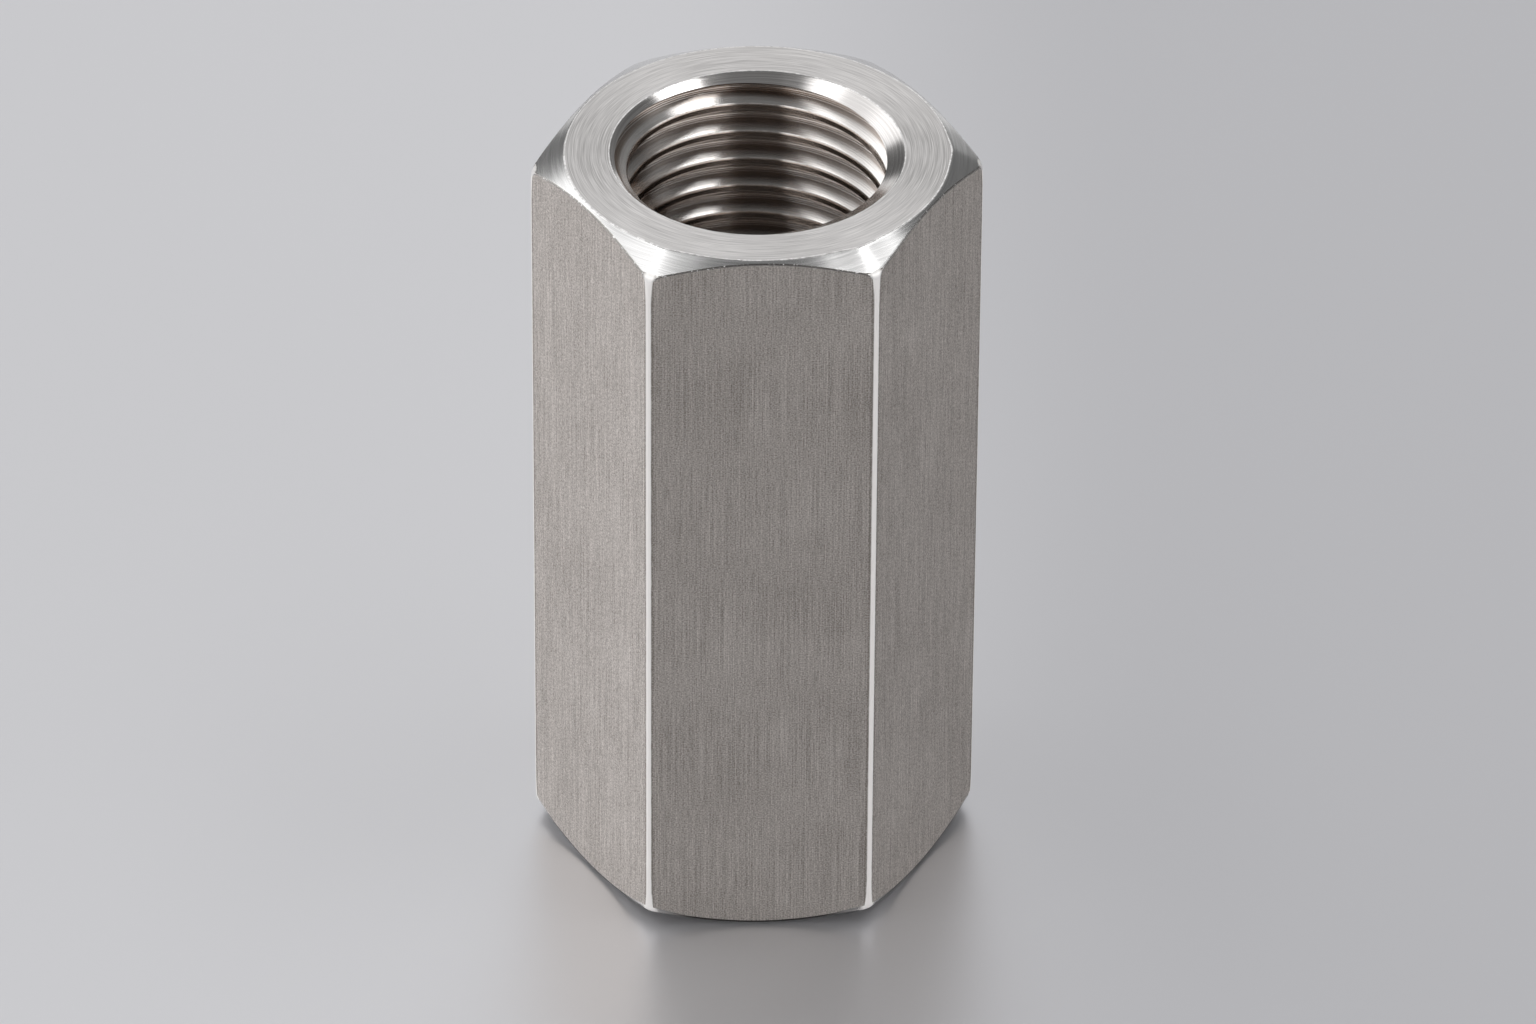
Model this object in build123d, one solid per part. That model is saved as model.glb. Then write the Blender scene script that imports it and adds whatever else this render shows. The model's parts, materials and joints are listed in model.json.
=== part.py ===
from build123d import *
import math
import os

# Coupling nut: a length of hexagon bar with one threaded bore from end to end.
# Millimetres, +Z along the bore, origin at the middle of the lower end face.
# Two flats face -Y and +Y, and two corners lie on the X axis.

# Driving dimensions of the hexagon bar
across_flats = 24.0
nut_length = 50.0
corner_radius = 0.45

# The cone turned on each end takes the corners off. It starts a little inside
# the flats, so the end face that it leaves is one unbroken ring.
end_ring_inset = 0.24
end_cone_angle = 30.0

# Driving dimensions of the thread
thread_size = 18.0
thread_pitch = 2.0

# The countersink at each mouth starts just outside the thread's largest radius.
mouth_margin = 0.05
mouth_angle = 120.0

# What follows from them
flat_distance = across_flats / 2
corner_distance = flat_distance / math.cos(math.radians(30))
end_ring_radius = flat_distance - end_ring_inset
end_cone_slope = math.tan(math.radians(end_cone_angle))

# A 60 degree thread with a flat an eighth of the pitch wide at its root and a
# quarter wide at its crest is five eighths of the sharp triangle deep.
triangle_height = thread_pitch * math.cos(math.radians(30))
thread_depth = triangle_height * 5 / 8
bore_radius = thread_size / 2 - thread_depth
mouth_radius = thread_size / 2 + mouth_margin
mouth_depth = (mouth_radius - bore_radius) / math.tan(math.radians(mouth_angle / 2))


def hexagon_bar():
    """The bar, with the drawn bar's small radius along its six corners."""
    outline = RegularPolygon(flat_distance, 6, major_radius=False)
    bar = extrude(outline, nut_length)
    return fillet(bar.edges().filter_by(Axis.Z), corner_radius)


def turned(outline):
    """A closed outline of radius and height, turned about the bore's axis."""
    section = Plane.XZ * make_face(Polyline(*outline, close=True))
    return revolve(section, Axis.Z)


def end_cones():
    """The turned blank that takes the corners off both ends."""
    cone_height = (corner_distance - end_ring_radius) * end_cone_slope
    outline = [
        (0, 0),
        (end_ring_radius, 0),
        (corner_distance, cone_height),
        (corner_distance, nut_length - cone_height),
        (end_ring_radius, nut_length),
        (0, nut_length),
    ]
    return turned(outline)


def bore():
    """The bore at the thread's smallest radius, opened out at both mouths."""
    outline = [
        (0, 0),
        (mouth_radius, 0),
        (bore_radius, mouth_depth),
        (bore_radius, nut_length - mouth_depth),
        (mouth_radius, nut_length),
        (0, nut_length),
    ]
    return turned(outline)


def coupling_nut():
    """The whole nut: one bar, its ends turned and its middle bored."""
    return (hexagon_bar() & end_cones()) - bore()


os.makedirs("parts", exist_ok=True)
export_step(coupling_nut(), "parts/coupling_nut.step")
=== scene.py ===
import json
import math

import bpy
from mathutils import Matrix, Vector


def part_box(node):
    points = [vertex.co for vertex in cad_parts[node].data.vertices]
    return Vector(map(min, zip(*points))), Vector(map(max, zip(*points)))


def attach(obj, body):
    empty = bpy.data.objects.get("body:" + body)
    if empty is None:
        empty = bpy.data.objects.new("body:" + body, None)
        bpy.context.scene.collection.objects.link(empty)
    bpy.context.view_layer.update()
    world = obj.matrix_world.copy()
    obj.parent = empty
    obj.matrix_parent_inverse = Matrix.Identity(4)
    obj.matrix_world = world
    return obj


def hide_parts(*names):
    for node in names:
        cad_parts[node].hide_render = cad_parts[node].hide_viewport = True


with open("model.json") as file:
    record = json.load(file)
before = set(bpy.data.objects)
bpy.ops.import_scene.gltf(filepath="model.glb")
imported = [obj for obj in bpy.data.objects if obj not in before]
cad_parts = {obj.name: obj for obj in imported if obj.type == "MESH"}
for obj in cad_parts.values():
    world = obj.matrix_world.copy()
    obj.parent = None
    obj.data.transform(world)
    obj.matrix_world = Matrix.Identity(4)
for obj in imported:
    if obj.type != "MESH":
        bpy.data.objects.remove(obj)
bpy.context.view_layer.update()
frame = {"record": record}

# A coupling nut: a length of hexagon bar, turned at both ends and tapped right through
MM = 0.001
UP = Vector((0, 0, 1))
SIDES = 6
SECTOR = math.tau / SIDES
HALF_SECTOR = SECTOR / 2

# The nut's main sizes come from the frame.
nut_low, nut_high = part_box("coupling_nut")
nut_length = nut_high.z - nut_low.z
flat_distance = nut_high.y
bore_radius = next(
    mount["dims"]["r_mm"] * MM
    for mount in frame["record"]["mounts"]
    if mount["name"] == "thread_upper"
)

# The thread's flanks lean 30 degrees, and it is five eighths of the sharp triangle deep.
thread_pitch = 2.0 * MM
flank_lean = math.radians(30)
depth_share = 5 / 8
thread_depth = thread_pitch * math.cos(flank_lean) * depth_share
thread_radius = bore_radius + thread_depth

# The cones and the countersinks slope alike.
end_angle = math.radians(30)
end_slope = math.tan(end_angle)
end_ring_inset = 0.24 * MM
end_ring_radius = flat_distance - end_ring_inset
mouth_margin = 0.01 * MM
mouth_radius = thread_radius + mouth_margin


class Socket:
    """A socket of a node tree. Arithmetic on it adds Math nodes."""

    def __init__(self, tree, link=None):
        self.tree = tree
        self.link = link

    def feed(self, place):
        """Link this socket to the input of a node."""
        self.tree.links.new(self.link, place)

    def node(self, kind, settings=None, inputs=None, output=0):
        """Another node of this tree: its settings first, then the values or links of its sockets."""
        made = self.tree.nodes.new(kind)
        for name, value in (settings or {}).items():
            setattr(made, name, value)
        for name, value in (inputs or {}).items():
            if isinstance(value, Socket):
                value.feed(made.inputs[name])
            else:
                made.inputs[name].default_value = value
        return Socket(self.tree, made.outputs[output]) if len(made.outputs) else None

    def other(self, name):
        """Another output of the node that this socket belongs to."""
        return Socket(self.tree, self.link.node.outputs[name])

    def math(self, operation, *values):
        inputs = dict(enumerate((self, *values)))
        return self.node("ShaderNodeMath", {"operation": operation}, inputs)

    def __add__(self, value):
        return self.math("ADD", value)

    def __mul__(self, value):
        return self.math("MULTIPLY", value)

    def __sub__(self, value):
        return self.math("SUBTRACT", value)

    def __truediv__(self, value):
        return self.math("DIVIDE", value)

    def __pow__(self, value):
        return self.math("POWER", value)

    def __rsub__(self, value):
        return self.node("ShaderNodeMath", {"operation": "SUBTRACT"}, {0: value, 1: self})

    __radd__ = __add__
    __rmul__ = __mul__

    def clamped(self):
        """No less than 0 and no more than 1."""
        return self.math("MAXIMUM", 0).math("MINIMUM", 1)

    def rise(self, start, end):
        """0 up to start and 1 from end on, with a smooth step between them."""
        inputs = {"Value": self, "From Min": start, "From Max": end}
        return self.node("ShaderNodeMapRange", {"interpolation_type": "SMOOTHSTEP"}, inputs)

    def fall(self, start, end):
        """1 up to start and 0 from end on, with a smooth step between them."""
        return 1 - self.rise(start, end)

    def within(self, low, high, soft):
        """1 between low and high, and 0 outside them."""
        return self.rise(low - soft, low + soft) * self.fall(high - soft, high + soft)

    def axes(self):
        """The x, y and z of a vector."""
        x = self.node("ShaderNodeSeparateXYZ", inputs={0: self})
        return x, x.other("Y"), x.other("Z")

    def vector(self, x, y, z):
        return self.node("ShaderNodeCombineXYZ", inputs={0: x, 1: y, 2: z})

    def mixed(self, first, second):
        """Between two colours, by this socket's value. A Mix node's colours have these places."""
        first_colour, second_colour, result = 6, 7, 2
        inputs = {0: self, first_colour: first, second_colour: second}
        return self.node("ShaderNodeMix", {"data_type": "RGBA"}, inputs, result)


def blend(first, second, share):
    """Between two values."""
    return first + (second - first) * share


def aim_camera():
    """The camera stands where the photograph was taken from, looking down on the nut."""
    photo_width = 1536
    focal_pixels = 11367
    distance = 707.0 * MM
    azimuth = math.radians(-1.885)
    elevation = math.radians(35.5)
    roll = math.radians(0.383)
    aim_right = 0.801 * MM
    aim_height = 23.096 * MM

    data = bpy.data.cameras.new("camera")
    data.lens = data.sensor_width * focal_pixels / photo_width
    data.clip_start = 10 * MM
    back = Vector((
        math.sin(azimuth) * math.cos(elevation),
        -math.cos(azimuth) * math.cos(elevation),
        math.sin(elevation),
    ))
    right = Vector((math.cos(azimuth), math.sin(azimuth), 0))
    place = UP * aim_height + right * aim_right + back * distance
    turned = Matrix((right, back.cross(right), back)).transposed().to_4x4()
    camera = bpy.data.objects.new("camera", data)
    camera.matrix_world = Matrix.Translation(place) @ turned @ Matrix.Rotation(roll, 4, "Z")
    bpy.context.scene.collection.objects.link(camera)
    bpy.context.scene.camera = camera


# Shape: the rounding of the bar's corners, which grows towards both ends
corner_radius = 0.45 * MM
corner_flare = 0.25 * MM
flare_height = 0.5 * MM

# Shape: the edges that each end shares with the flats, with more rounding at a corner
upper_edge = {
    "rounding": 0.07 * MM,
    "more at a corner": 0.3 * MM,
    "all of it to": 0,
    "none of it from": math.radians(3),
    "finish": "wall_edge",
    "cone finish": "turned_cone",
}
lower_edge = {
    "rounding": 0.15 * MM,
    "more at a corner": 0.2 * MM,
    "all of it to": math.radians(1),
    "none of it from": math.radians(10),
    "finish": "foot_edge_shadow",
    "cone finish": "lower_cone_shaded",
}

# Shape: the end ring, which reaches out at its corners, from most at one to none opposite it
ring_kink = 0.28 * MM
kink_angle = math.radians(-60)
kink_width = math.radians(11)
kink_softness = math.radians(1.2)

# Shape: the ring's two rounded edges, and the plug that closes the blank until it is tapped
ring_round = 0.07 * MM
mouth_round = 0.05 * MM
plug_depth = 0.65 * MM

# Shape: how finely the blank is divided
sector_columns = 36
wall_columns = SIDES * sector_columns
column_crowding = 0.8
wall_rows = 40
wall_crowding = 0.9
edge_rows = 8
cone_rows = 10
lip_rows = 4
ring_rows = 24
countersink_rows = 12
weld_distance = 0.0001 * MM
crisp_angle = math.radians(24)


def fading(off_corner, width):
    """Nearly 1 at a corner and 0 from that width on."""
    off_corner = (off_corner ** 2 + kink_softness ** 2) ** 0.5
    return (1 - off_corner / width).math("MAXIMUM", 0) ** 2


def hexagon_radius(size, off_corner, rounding):
    """From the axis to the wall, at an angle off the nearest corner, with the corner rounded off."""
    centre = (size["Flat Distance"] - rounding) / math.cos(HALF_SECTOR)
    flat = size["Flat Distance"] * ((HALF_SECTOR - off_corner).math("COSINE") ** -1)
    across = centre * off_corner.math("SINE")
    within_arc = (rounding ** 2 - across ** 2).math("MAXIMUM", 0).math("SQRT")
    arc = centre * off_corner.math("COSINE") + within_arc
    reach = (rounding * math.sin(HALF_SECTOR)) / (centre + rounding * math.cos(HALF_SECTOR))
    on_arc = off_corner.math("LESS_THAN", reach.math("ARCTANGENT"))
    return blend(flat, arc, on_arc)


def crowded(share, crowding):
    """A share from 0 to 1, drawn towards 0 and 1."""
    return share - (share * math.tau).math("SINE") * (crowding / math.tau)


def corner_columns(share):
    """The angle of a column, with the columns crowded towards the six corners."""
    sector = share.math("FLOOR")
    part = crowded(share - sector, column_crowding)
    angle = (sector + part) * SECTOR
    off_corner = part.math("MINIMUM", 1 - part) * SECTOR
    return angle, off_corner


def grid(tree, columns, rows):
    """A sheet of columns along X by rows along Y, each 1 wide, about the origin."""
    size = {"Size X": columns, "Size Y": rows, "Vertices X": columns + 1, "Vertices Y": rows + 1}
    return tree.node("GeometryNodeMeshGrid", inputs=size)


def column_of(tree, columns):
    """The column of each point of such a sheet, from 0."""
    x, _, _ = tree.node("GeometryNodeInputPosition").axes()
    return x + columns / 2


def row_of(tree, rows):
    """The row of each point of such a sheet, from 0."""
    _, y, _ = tree.node("GeometryNodeInputPosition").axes()
    return y + rows / 2


def wrapped(tree, mesh, radius, angle, height):
    """The sheet wrapped round the axis."""
    place = tree.vector(radius * angle.math("COSINE"), radius * angle.math("SINE"), height)
    return tree.node("GeometryNodeSetPosition", inputs={"Geometry": mesh, "Position": place})


def joined(tree, meshes):
    """Several meshes as one, welded where they meet."""
    gathered = tree.node("GeometryNodeJoinGeometry")
    for mesh in meshes:
        mesh.feed(gathered.link.node.inputs[0])
    welded = {"Geometry": gathered, "Distance": weld_distance}
    return tree.node("GeometryNodeMergeByDistance", inputs=welded)


def painted(tree, mesh, material):
    return tree.node("GeometryNodeSetMaterial", inputs={"Geometry": mesh, "Material": material})


def straight(start, end, share):
    return blend(start[0], end[0], share), blend(start[1], end[1], share)


def rounded(start, corner, end, share):
    """A short curve that leaves start and reaches end along the two sides of a corner."""
    first = straight(start, corner, share)
    second = straight(corner, end, share)
    return straight(first, second, share)


def end_outline(size, edge, angle, off_corner):
    """The points of one end's outline, as radius and depth below the end face."""
    zero = off_corner * 0
    uneven = ((angle - kink_angle).math("COSINE") * 0.5 + 0.5) ** 2
    ring = size["Ring Radius"] + ring_kink * uneven * fading(off_corner, kink_width)
    mouth = size["Mouth Radius"]
    wall = hexagon_radius(size, off_corner, zero + corner_radius + corner_flare)
    wall_depth = (wall - ring) * end_slope
    at_corner = off_corner.fall(edge["all of it to"], edge["none of it from"])
    turn = edge["rounding"] + edge["more at a corner"] * at_corner
    aside, down = math.cos(end_angle), math.sin(end_angle)
    return {
        "wall": (wall, wall_depth + turn),
        "wall corner": (wall, wall_depth),
        "cone foot": (wall - turn * aside, wall_depth - turn * down),
        "cone head": (ring + ring_round * aside, zero + ring_round * down),
        "ring corner": (ring, zero),
        "ring outside": (ring - ring_round, zero),
        "ring inside": (mouth + mouth_round, zero),
        "mouth corner": (mouth, zero),
        "mouth head": (mouth - mouth_round * aside, zero + mouth_round * down),
        "plug edge": (mouth - plug_depth / end_slope, zero + plug_depth),
        "axis": (zero, zero + plug_depth),
    }


def end_band(tree, size, angle, points, rows, material):
    """One band of an end, straight between two points or rounded along three, as on the upper end."""
    mesh = grid(tree, wall_columns, rows)
    share = row_of(tree, rows) / rows
    radius, depth = (rounded if len(points) == 3 else straight)(*points, share)
    return painted(tree, wrapped(tree, mesh, radius, angle, size["Nut Length"] - depth), material)


def wall_band(tree, size, angle, off_corner, foot, head, material):
    """The six flats and the drawn bar's rounded corners, which open out towards both ends."""
    mesh = grid(tree, wall_columns, wall_rows)
    share = row_of(tree, wall_rows) / wall_rows
    height = blend(foot, head, crowded(share, wall_crowding))
    from_end = (height - foot).math("MINIMUM", head - height)
    rounding = corner_radius + corner_flare * (from_end / -flare_height).math("EXPONENT")
    radius = hexagon_radius(size, off_corner, rounding)
    return painted(tree, wrapped(tree, mesh, radius, angle, height), material)


def turned_end(tree, size, edge, angle, outline, finishes):
    """One end, from the flats' edge over the cone and the ring to a plug in the countersink."""
    bands = [
        (("wall", "wall corner", "cone foot"), edge_rows, edge["finish"]),
        (("cone foot", "cone head"), cone_rows, edge["cone finish"]),
        (("cone head", "ring corner", "ring outside"), lip_rows, "ring_edge"),
        (("ring outside", "ring inside"), ring_rows, "faced_ring"),
        (("ring inside", "mouth corner", "mouth head"), lip_rows, "ring_edge"),
        (("mouth head", "plug edge"), countersink_rows, "countersink"),
        (("plug edge", "axis"), 1, "countersink"),
    ]
    return [
        end_band(tree, size, angle, [outline[name] for name in names], rows, finishes[finish])
        for names, rows, finish in bands
    ]


def turned_over(tree, size, mesh):
    """A band of the upper end, made one of the lower end."""
    moved = {"Geometry": mesh, "Translation": tree.vector(0, 0, size["Nut Length"]), "Scale": (1, 1, -1)}
    mirrored = tree.node("GeometryNodeTransform", inputs=moved)
    return tree.node("GeometryNodeFlipFaces", inputs={0: mirrored})


def hexagon_blank(tree, size, finishes):
    """The closed blank before it is tapped: the wall and two turned ends."""
    angle, off_corner = corner_columns(column_of(tree, wall_columns) / sector_columns)
    upper_outline = end_outline(size, upper_edge, angle, off_corner)
    lower_outline = end_outline(size, lower_edge, angle, off_corner)
    upper = turned_end(tree, size, upper_edge, angle, upper_outline, finishes)
    lower = turned_end(tree, size, lower_edge, angle, lower_outline, finishes)
    lower = [turned_over(tree, size, band) for band in lower]
    foot, head = lower_outline["wall"][1], size["Nut Length"] - upper_outline["wall"][1]
    wall = wall_band(tree, size, angle, off_corner, foot, head, finishes["brushed_wall"])
    return joined(tree, [wall, *upper, *lower])


# Shape: the thread, as the bar that would fill the tapped bore
crest_share = 1 / 4
root_share = 1 / 8
flank_share = 0.22
crest_break = 0.08 * MM
root_round = 0.09 * MM
bar_columns = 192
bar_overrun = 0.6 * MM
spare_turns = 2
thread_start_angle = math.radians(87)


def thread_outline(size):
    """One pitch of the bar's outline from the middle of a crest of the nut: height and radius."""
    pitch, inner, outer = size["Pitch"], size["Bore Radius"], size["Thread Radius"]
    along, into = math.sin(flank_lean), math.cos(flank_lean)
    half_crest = pitch * (crest_share / 2)
    root_start = pitch / 2 - pitch * (root_share / 2)
    flank_height = pitch * flank_share
    tip = half_crest - crest_break, inner
    shoulder = half_crest + crest_break * along, inner + crest_break * into
    flank = flank_height, inner + (flank_height - half_crest) / math.tan(flank_lean)
    foot = root_start - root_round * along, outer - root_round * into
    root = root_start + root_round / 2, outer
    rising = [tip, shoulder, flank, foot, root]
    return rising + [(pitch - height, radius) for height, radius in reversed(rising)]


def chosen(tree, index, values):
    """The value that belongs to a whole number."""
    switch = tree.node("GeometryNodeIndexSwitch", {"data_type": "FLOAT"})
    made = switch.link.node
    while len(made.index_switch_items) < len(values):
        made.index_switch_items.new()
    for place, value in enumerate([index, *values]):
        value.feed(made.inputs[place])
    return switch


def bar_angle(column):
    """The angle of a column of the bar, from the thread's start."""
    return column * (math.tau / bar_columns) + thread_start_angle


def bar_side(tree, size):
    """The side of the bar: the thread along the nut, which runs out into a plain bar past its ends."""
    pitch, inner, length = size["Pitch"], size["Bore Radius"], size["Nut Length"]
    outline = thread_outline(size)
    steps = len(outline)
    rows = steps * (math.ceil(nut_length / thread_pitch) + 2 * spare_turns)
    mesh = grid(tree, bar_columns, rows)
    column, row = column_of(tree, bar_columns), row_of(tree, rows)
    rounding_error = 1e-4
    turn = (row / steps + rounding_error).math("FLOOR")
    step = row - turn * steps
    climb = turn - spare_turns + column / bar_columns
    height = climb * pitch + chosen(tree, step, [height for height, _ in outline])
    radius = chosen(tree, step, [radius for _, radius in outline])
    outside = (height - length).math("MAXIMUM", 0 - height)
    radius = blend(radius, inner, outside.rise(bar_overrun / 2, bar_overrun))
    height = height.math("MAXIMUM", -bar_overrun).math("MINIMUM", length + bar_overrun)
    return wrapped(tree, mesh, radius, bar_angle(column), height)


def bar_end(tree, height, inner, outer):
    """The flat disc that closes one end of the bar."""
    mesh = grid(tree, bar_columns, 1)
    column, row = column_of(tree, bar_columns), row_of(tree, 1)
    return wrapped(tree, mesh, blend(inner, outer, row), bar_angle(column), height)


def threaded_bar(tree, size, finish):
    """A right-hand threaded bar, longer than the nut."""
    radius = size["Bore Radius"]
    side = bar_side(tree, size)
    lower_end = bar_end(tree, -bar_overrun, 0, radius)
    upper_end = bar_end(tree, size["Nut Length"] + bar_overrun, radius, 0)
    return painted(tree, joined(tree, [side, lower_end, upper_end]), finish)


def shaded(tree, mesh):
    """The mesh shaded smooth, with its sharper edges left crisp."""
    smooth = {"Geometry": mesh, "Shade Smooth": True}
    mesh = tree.node("GeometryNodeSetShadeSmooth", {"domain": "FACE"}, smooth)
    sharp = tree.node("GeometryNodeInputMeshEdgeAngle").math("GREATER_THAN", crisp_angle)
    crisp = {"Geometry": mesh, "Selection": sharp, "Shade Smooth": False}
    return tree.node("GeometryNodeSetShadeSmooth", {"domain": "EDGE"}, crisp)


def nut_tree(sizes, finishes):
    """The node tree of the nut: the blank, with the threaded bar taken away from it."""
    group = bpy.data.node_groups.new("coupling nut", "GeometryNodeTree")
    group.interface.new_socket("Geometry", in_out="OUTPUT", socket_type="NodeSocketGeometry")
    inputs = {}
    for name in sizes:
        inputs[name] = group.interface.new_socket(name, in_out="INPUT", socket_type="NodeSocketFloat")
    tree = Socket(group)
    given = tree.node("NodeGroupInput")
    size = {name: given.other(name) for name in sizes}
    blank = hexagon_blank(tree, size, finishes)
    bar = threaded_bar(tree, size, finishes["cut_thread"])
    settings = {"operation": "DIFFERENCE", "solver": "MANIFOLD"}
    nut = tree.node("GeometryNodeMeshBoolean", settings, {"Mesh 1": blank, "Mesh 2": bar})
    nut = tree.node("GeometryNodeRealizeInstances", inputs={"Geometry": shaded(tree, nut)})
    tree.node("NodeGroupOutput", inputs={0: nut})
    return group, inputs


def build_nut(finishes):
    """The finished nut, as a plain mesh."""
    sizes = {
        "Nut Length": nut_length,
        "Flat Distance": flat_distance,
        "Ring Radius": end_ring_radius,
        "Mouth Radius": mouth_radius,
        "Bore Radius": bore_radius,
        "Thread Radius": thread_radius,
        "Pitch": thread_pitch,
    }
    group, inputs = nut_tree(sizes, finishes)
    holder = bpy.data.objects.new("coupling_nut_builder", bpy.data.meshes.new("coupling_nut_builder"))
    bpy.context.scene.collection.objects.link(holder)
    maker = holder.modifiers.new("coupling nut", "NODES")
    maker.node_group = group
    for name, value in sizes.items():
        maker[inputs[name].identifier] = value
    shown = holder.evaluated_get(bpy.context.evaluated_depsgraph_get())
    mesh = bpy.data.meshes.new_from_object(shown)
    bpy.data.objects.remove(holder)
    piece = bpy.data.objects.new("coupling_nut_finish", mesh)
    bpy.context.scene.collection.objects.link(piece)
    return piece


# Finishes
quarter_turn = 0.25
thread_mark_arc = 0.5


class Finish:
    """A material under construction, with the places that its marks are drawn from."""

    def __init__(self, name):
        self.material = bpy.data.materials.new(name)
        self.material.use_nodes = True
        self.material.node_tree.nodes.clear()
        self.tree = Socket(self.material.node_tree)
        place = self.tree.node("ShaderNodeTexCoord", output="Object")
        self.x, self.y, self.z = place.axes()
        self.radius = (self.x ** 2 + self.y ** 2) ** 0.5

    def noise(self, place, detail=2.0):
        """Noise from 0 to 1 about a mean of a half."""
        inputs = {"Vector": place, "Scale": 1.0, "Detail": detail}
        return self.tree.node("ShaderNodeTexNoise", inputs=inputs)

    def patches(self, size, detail=2.0):
        """Soft patches of one size."""
        return self.noise(self.tree.vector(self.x / size, self.y / size, self.z / size), detail)

    def along_bar(self, width, length, detail, shift):
        """Marks drawn along the bar."""
        place = self.tree.vector(self.x / width, self.y / width, self.z / length + shift)
        return self.noise(place, detail)

    def round_axis(self, arc, across, detail=2.0, shift=0.0):
        """Marks drawn round the axis. Arc is their length in radians, and across counts their widths."""
        x, y = self.x / self.radius / arc, self.y / self.radius / arc
        return self.noise(self.tree.vector(x + shift, y, across), detail)

    def across(self):
        """The distance from the axis, measured square to the nearest flat."""
        first = self.x * math.cos(HALF_SECTOR)
        second = self.y * math.sin(HALF_SECTOR)
        nearest = self.y.math("ABSOLUTE")
        for other in (first + second, first - second):
            nearest = nearest.math("MAXIMUM", other.math("ABSOLUTE"))
        return nearest

    def near_corner(self, start, end):
        """1 at a corner and 0 on the flats, by a share that is 0.866 at a corner and 1 amid a flat."""
        return (self.across() / self.radius).fall(start, end)

    def thread_turn(self):
        """How far up the thread a place is, from 0 at the middle of a crest to 1 at the next."""
        angle = self.y.math("ARCTAN2", self.x) - thread_start_angle
        return (self.z / thread_pitch - angle / math.tau).math("FRACT")

    def bumped(self, height, depth):
        """The normal over marks of that depth."""
        inputs = {"Height": height, "Strength": 1.0, "Distance": depth}
        return self.tree.node("ShaderNodeBump", inputs=inputs)

    def metal(self, colour, roughness, normal=None, anisotropy=0.0, metallic=1.0):
        """Metal. Where it has anisotropy, its grain runs round the axis."""
        inputs = {
            "Base Color": colour,
            "Roughness": roughness,
            "Metallic": metallic,
            "Anisotropic": anisotropy,
            "Anisotropic Rotation": quarter_turn,
        }
        if normal:
            inputs["Normal"] = normal
        return self.tree.node("ShaderNodeBsdfPrincipled", inputs=inputs)

    def mixed(self, share, first, second):
        """One shader where the share is 0 and another where it is 1."""
        return self.tree.node("ShaderNodeMixShader", inputs={0: share, 1: first, 2: second})

    def done(self, shader):
        self.tree.node("ShaderNodeOutputMaterial", inputs={"Surface": shader})
        return self.material


def mottled(mean, *marks):
    """A value that marks vary about its mean, each mark with its own strength."""
    level = mean
    for mark, strength in marks:
        level = level + (mark - 0.5) * strength
    return level


def rubbed_corner_highlight(finish):
    """The corners of the bar, rubbed pale and painted a near-white cream as a highlight."""
    highlight_cream = (1.0, 0.97, 0.945, 1)
    return finish.metal(highlight_cream, roughness=0.4, metallic=0.1)


def brushed_wall():
    """Flats brushed along the bar, with painted shade on the flats along the edges of the rounded
    corners, and the corners rubbed pale and painted near white as a highlight.
    """
    brown, pale = (0.285, 0.256, 0.229, 1), (0.745, 0.698, 0.658, 1)
    finish = Finish("brushed wall")
    grain = finish.patches(size=0.10 * MM, detail=1.0)
    line = finish.along_bar(width=0.06 * MM, length=9 * MM, detail=1.0, shift=11.0)
    stroke = finish.along_bar(width=0.08 * MM, length=1.3 * MM, detail=1.0, shift=5.0)
    tint = finish.patches(size=5 * MM, detail=3.0)
    tone = mottled(0.5, (grain, 1.6), (line, 1.0), (stroke, 0.6), (tint, 0.3))
    # Painted shade: the flats darker along the edges of the rounded corners.
    shade = finish.near_corner(0.8745, 0.879) * 0.4
    colour = (tone - shade).clamped().mixed(brown, pale)
    roughness = mottled(0.54, (line, 0.15))
    flats = finish.metal(colour, roughness, finish.bumped(grain + line, depth=0.003 * MM))
    fray = finish.along_bar(width=0.4 * MM, length=0.7 * MM, detail=3.0, shift=9.0)
    off_flat = mottled(flat_distance - finish.across(), (fray, 0.004 * MM))
    # Painted highlight: the rounded corners take the near-white corner finish.
    rubbed = off_flat.rise(0.001 * MM, 0.008 * MM)
    return finish.done(finish.mixed(rubbed, flats, rubbed_corner_highlight(finish)))


def turned_finish(name, dark, light, roughness, mark_width, mark_arc, depth, anisotropy, sheen_strength=0.0):
    """A turned face, with fine marks round the axis. A painted sheen, as strong as the last argument,
    darkens its left and right, and brightens it between them and the front and back."""
    broader, longer, brighter = 3, 1.5, 2.5
    finish = Finish(name)
    widths = finish.radius / mark_width
    fine = finish.round_axis(mark_arc, widths, detail=1.0)
    broad = finish.round_axis(mark_arc * longer, widths / broader + 7)
    sideways = (finish.x / finish.radius) ** 2
    sheen = (sideways * (1 - sideways) * brighter - sideways) * sheen_strength
    tone = (mottled(0.5, (fine, 1.5), (broad, 0.2)) + sheen).clamped()
    colour = tone.mixed((*dark, 1), (*light, 1))
    rough = mottled(roughness, (broad, 0.1))
    return finish.done(finish.metal(colour, rough, finish.bumped(fine + broad, depth), anisotropy))


def turned_cone():
    return turned_finish(
        "turned cone",
        dark=(0.7, 0.695, 0.69),
        light=(0.93, 0.925, 0.92),
        roughness=0.2,
        mark_width=0.06 * MM,
        mark_arc=0.3,
        depth=0.0003 * MM,
        anisotropy=0.3,
    )


def lower_cone_shaded():
    """Painted darker than the upper cone, as painted shade along the foot."""
    return turned_finish(
        "lower cone",
        dark=(0.3, 0.29, 0.28),
        light=(0.45, 0.44, 0.43),
        roughness=0.19,
        mark_width=0.06 * MM,
        mark_arc=0.3,
        depth=0.0004 * MM,
        anisotropy=0.3,
    )


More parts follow.
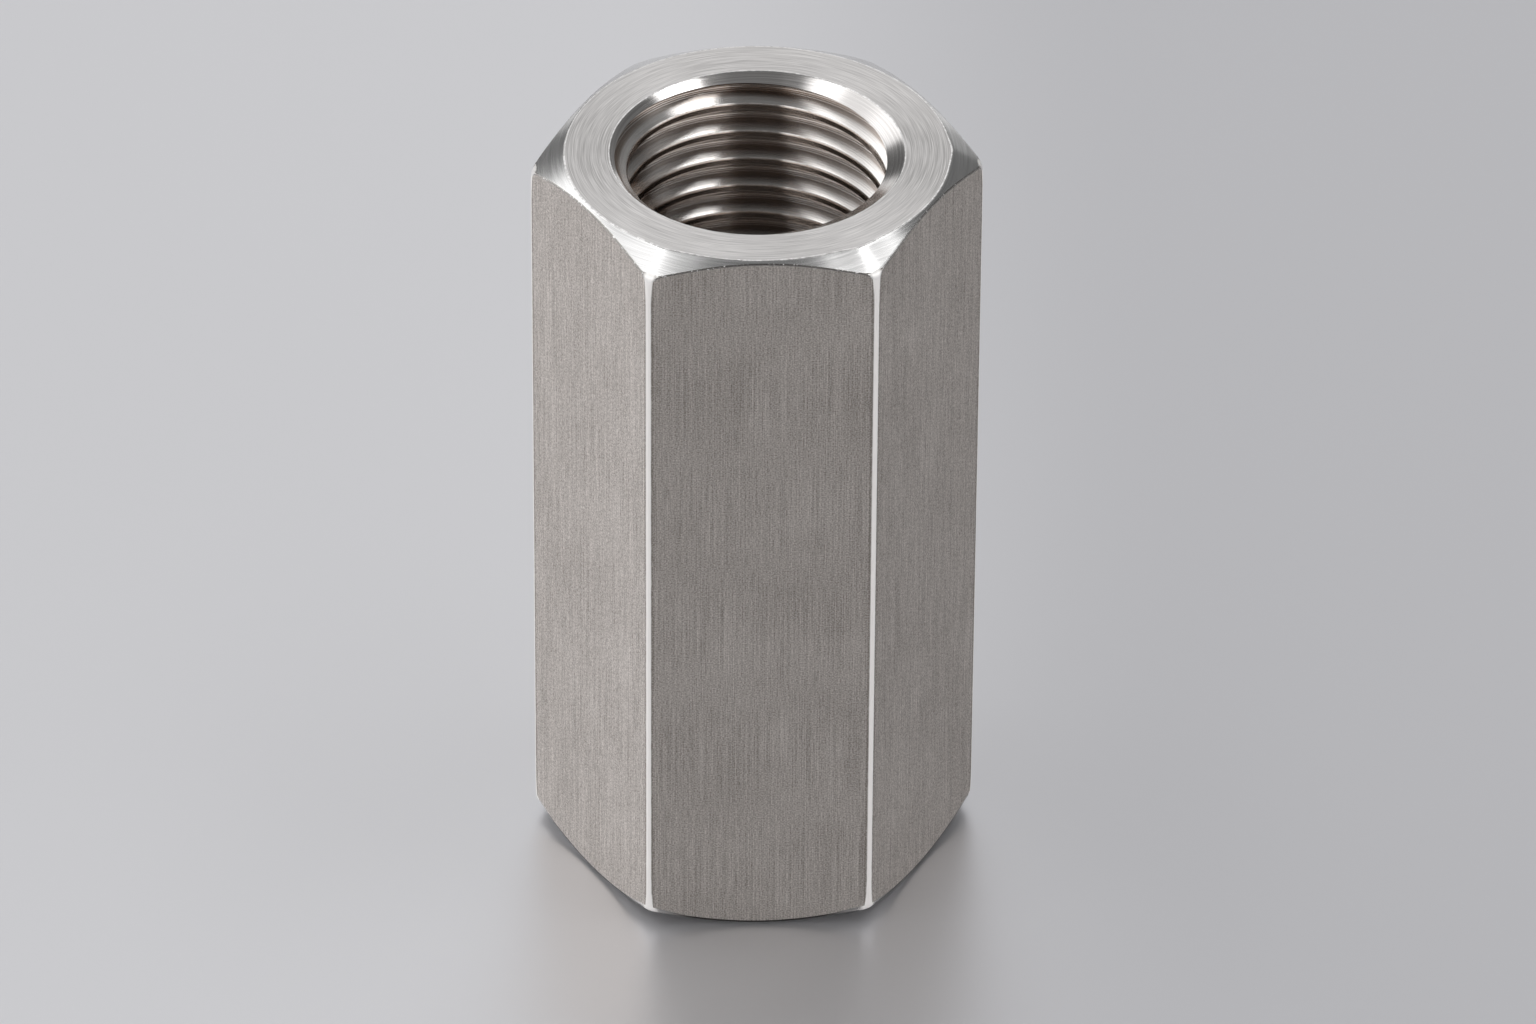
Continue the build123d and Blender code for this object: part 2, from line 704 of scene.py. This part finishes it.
def faced_ring():
    return turned_finish(
        "faced ring",
        dark=(0.45, 0.438, 0.432),
        light=(0.925, 0.903, 0.893),
        roughness=0.35,
        mark_width=0.045 * MM,
        mark_arc=0.22,
        depth=0.0007 * MM,
        anisotropy=0.5,
        # A painted sheen: darker at the ring's left and right, lighter between them and the front and
        # back.
        sheen_strength=0.25,
    )


def countersink():
    return turned_finish(
        "countersink",
        dark=(0.6, 0.58, 0.567),
        light=(0.95, 0.925, 0.91),
        roughness=0.14,
        mark_width=0.05 * MM,
        mark_arc=0.7,
        depth=0.001 * MM,
        anisotropy=0.5,
    )


def cut_thread():
    """The tapped thread: brown, with a bright burr on each crest, and darker near the mouths. Its
    up-facing flanks are painted lighter as a highlight: a pale flank over each crest, and fine lines up
    to the middle of the root, marked in the bump and painted pale."""
    brown, pale = (0.25, 0.17, 0.12, 1), (0.98, 0.96, 0.94, 1)

    # Places on one turn, where a crest's upper edge is at 0.125 and the root's middle at 0.5
    edge_start, edge_end = 0.110, 0.140
    slope_start, slope_end = 0.138, 0.495
    pale_end, brown_start = 0.24, 0.30
    lines_start = 0.366
    line_spacing = 0.036
    soft = 0.006

    finish = Finish("cut thread")
    turn = finish.thread_turn()
    along = turn * thread_pitch
    fine = finish.round_axis(thread_mark_arc, along / (0.04 * MM))
    broad = finish.round_axis(thread_mark_arc, along / (0.14 * MM), shift=5)
    # Painted highlight: the up-facing flank and the root painted lighter, most in a pale band over each
    # crest and in pale fine lines near the root.
    slope = turn.within(slope_start, slope_end, soft)
    flank = turn.fall(pale_end, brown_start) * slope
    wave = (turn * (math.tau / line_spacing)).math("SINE").rise(-0.4, 0.6)
    lines = wave * turn.within(lines_start, slope_end, soft)
    burr = finish.patches(size=0.13 * MM).rise(0.34, 0.50)
    edge = turn.within(edge_start, edge_end, 0.004) * burr
    from_end = nut_length / 2 - (finish.z - nut_length / 2).math("ABSOLUTE")
    mouth = from_end.fall(0.75 * MM, 1.15 * MM)
    level = mottled(0.26 + slope * 0.16, (fine, 0.4), (broad, 0.25))
    level = level + flank * 0.45 + lines * 0.5 - mouth * 0.3
    colour = level.math("MAXIMUM", edge * 0.7).clamped().mixed(brown, pale)
    normal = finish.bumped(fine + lines, depth=0.003 * MM)
    metallic = 1 - edge * 0.25
    return finish.done(finish.metal(colour, 0.18, normal, anisotropy=1.0, metallic=metallic))


def wall_edge():
    """The edge between a flat and the upper cone: painted dark as a shade line, with pale burrs, and
    painted pale at the corners as a highlight.
    """
    dark, pale, rubbed = (0.30, 0.285, 0.27, 1), (1.0, 0.99, 0.97, 1), (0.95, 0.93, 0.91, 1)
    finish = Finish("wall edge")
    burr = finish.patches(size=0.16 * MM).rise(0.60, 0.66)
    edge = finish.metal(burr.mixed(dark, pale), roughness=0.26, metallic=1 - burr * 0.5)
    corner = finish.metal(rubbed, roughness=0.3, metallic=0.6)
    return finish.done(finish.mixed(finish.near_corner(0.873, 0.885), edge, corner))


def foot_edge_shadow():
    """The edge between a flat and the lower cone: painted near black as the shadow where the nut meets
    the floor, and paler towards the corners, where it turns into the painted corner highlight.
    """
    dark, pale = (0.09, 0.085, 0.08, 1), (0.62, 0.60, 0.58, 1)
    finish = Finish("foot edge")
    edge = finish.metal(finish.near_corner(0.89, 0.95).mixed(dark, pale), roughness=0.22)
    return finish.done(finish.mixed(finish.near_corner(0.876, 0.890), edge, rubbed_corner_highlight(finish)))


def ring_edge():
    """The two edges of the end ring, rubbed bright, with small nicks."""
    dull, bright = (0.76, 0.75, 0.74, 1), (0.98, 0.97, 0.96, 1)
    finish = Finish("ring edge")
    nick = finish.patches(size=0.3 * MM)
    colour = nick.rise(0.42, 0.58).mixed(dull, bright)
    return finish.done(finish.metal(colour, 0.25, finish.bumped(nick, depth=0.004 * MM)))


# Light: how strong the parts of the room are
room_light = 0.22
far_right_light = 0.13
left_light = 0.75
back_light = 0.62
left_panel_light = 0.9
right_panel_light = 3.3
low_light = 1.3
floor_light = 0.8

# Light: how much of it is held back
overhead_loss = 0.05
low_back_loss = 0.88
low_back_right_share = 0.2
low_left_loss = 0.88
left_patch_gain = 0.55
gap_loss = 0.88


def upper_light(x, y, z, left):
    """Bright on the left and behind, dimmer low down behind and overhead, with a panel on either side."""
    back = y.rise(0.35, 0.5) * x.fall(0.3, 0.42)
    overhead = x.within(-0.16, 0.2, 0.03) * y.within(-0.6, 0.3, 0.1)
    low_back = y.rise(0.68, 0.74) * z.fall(0.38, 0.45) * blend(1, low_back_right_share, x.rise(-0.3, 0))
    left_panel = x.within(-0.48, -0.31, 0.04) * y.within(-0.35, 0.25, 0.06)
    right_panel = x.within(0.355, 0.545, 0.02) * y.within(-0.3, 0.3, 0.05)
    level = blend(room_light, far_right_light, x.rise(0.5, 0.6)) - overhead * overhead_loss
    level = level + left * left_light + (1 - left) * back * back_light
    level = level * (1 - low_back * low_back_loss)
    return level + left_panel * left_panel_light + right_panel * right_panel_light


def lower_light(x, y, z, left):
    """Low light round the front and both sides, with less of it on the left but for one patch."""
    front = y.fall(-0.1, 0.2)
    left_side = x.fall(-0.8, -0.4)
    right_side = x.rise(0.3, 0.6) * y.fall(-0.2, 0.4)
    low = (1 - (1 - front) * (1 - left_side) * (1 - right_side)) * z.fall(0.6, 0.75)
    patch = y.within(0.1, 0.7, 0.1)
    return low * (low_light - left * (low_left_loss - patch * left_patch_gain))


def studio():
    """The room's light, by its direction from the nut: x to the right, y to the back and z upwards. It
    has a dark gap in front of the nut, and it is even below the horizon."""
    world = bpy.data.worlds.new("studio")
    world.use_nodes = True
    bpy.context.scene.world = world
    world.node_tree.nodes.clear()
    tree = Socket(world.node_tree)
    x, y, z = tree.node("ShaderNodeTexCoord").axes()
    left = x.fall(-0.40, -0.26)
    gap = x.within(-0.32, 0.34, 0.06) * y.fall(-0.45, -0.25)
    level = (upper_light(x, y, z, left) + lower_light(x, y, z, left)) * (1 - gap * gap_loss)
    strength = blend(floor_light, level, z.rise(0.06, 0.12))
    light = tree.node("ShaderNodeBackground", inputs={"Color": (1, 1, 1, 1), "Strength": strength})
    tree.node("ShaderNodeOutputWorld", inputs={"Surface": light})


def make_floor():
    """A pale floor with a soft gloss, painted a little darker towards the right as painted shade."""
    half_width = 3.0
    lit_left_colour, shaded_right_colour = (0.745, 0.745, 0.77, 1), (0.60, 0.60, 0.625, 1)
    corners = [(-1, -1, 0), (1, -1, 0), (1, 1, 0), (-1, 1, 0)]
    mesh = bpy.data.meshes.new("floor")
    mesh.from_pydata([Vector(corner) * half_width for corner in corners], [], [(0, 1, 2, 3)])
    floor = bpy.data.objects.new("floor", mesh)
    bpy.context.scene.collection.objects.link(floor)
    finish = Finish("pale floor")
    colour = finish.x.rise(-8 * MM, 30 * MM).mixed(lit_left_colour, shaded_right_colour)
    mesh.materials.append(finish.done(finish.metal(colour, roughness=0.37, metallic=0.75)))


aim_camera()
studio()
make_floor()
nut = build_nut({
    "brushed_wall": brushed_wall(),
    "wall_edge": wall_edge(),
    "foot_edge_shadow": foot_edge_shadow(),
    "ring_edge": ring_edge(),
    "turned_cone": turned_cone(),
    "lower_cone_shaded": lower_cone_shaded(),
    "faced_ring": faced_ring(),
    "countersink": countersink(),
    "cut_thread": cut_thread(),
})
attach(nut, "root")
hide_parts("coupling_nut")

bpy.context.scene.view_settings.view_transform = "Standard"
